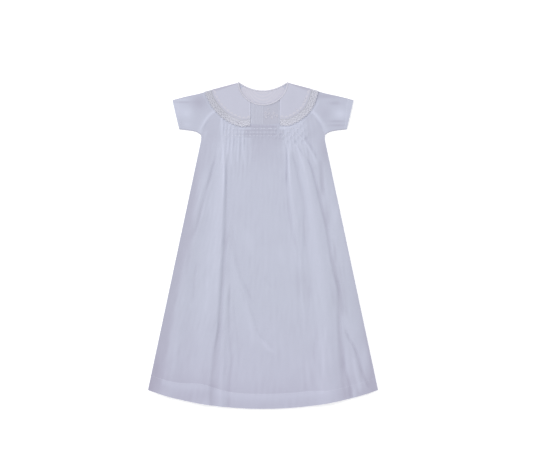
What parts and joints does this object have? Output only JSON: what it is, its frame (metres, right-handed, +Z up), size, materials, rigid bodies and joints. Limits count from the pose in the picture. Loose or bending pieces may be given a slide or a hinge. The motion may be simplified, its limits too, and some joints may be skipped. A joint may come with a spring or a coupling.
{
  "type": "christening gown",
  "caption": "Baby's christening gown laid flat, with a shirred front, short raglan sleeves and a round lace-edged collar.",
  "frame": {"origin": "middle of the gown's outline, on the surface that it lies on", "axes": "+X to the right as the gown is seen from above, +Y towards the neck, +Z up out of the front"},
  "size_m": [0.467, 0.663, 0.0105],
  "materials": {
    "cotton": "thin plain-weave cotton batiste, soft and slightly sheer",
    "yoke": "pintucked and embroidered batiste",
    "collar": "two layers of batiste, pressed flat",
    "lace": "narrow cotton lace edging",
    "binding": "narrow bias binding",
    "button": "pale shell-like button"
  },
  "bodies": {
    "root": {"front": "cotton", "front_yoke": "yoke", "back": "cotton", "placket": "cotton", "sleeve_left": "cotton", "sleeve_right": "cotton", "collar_left": "collar", "collar_right": "collar", "lace_left": "lace", "lace_right": "lace", "neck_binding_front": "binding", "neck_binding_back": "binding", "button_1": "button", "button_2": "button", "button_3": "button"}
  },
  "joints": []
}
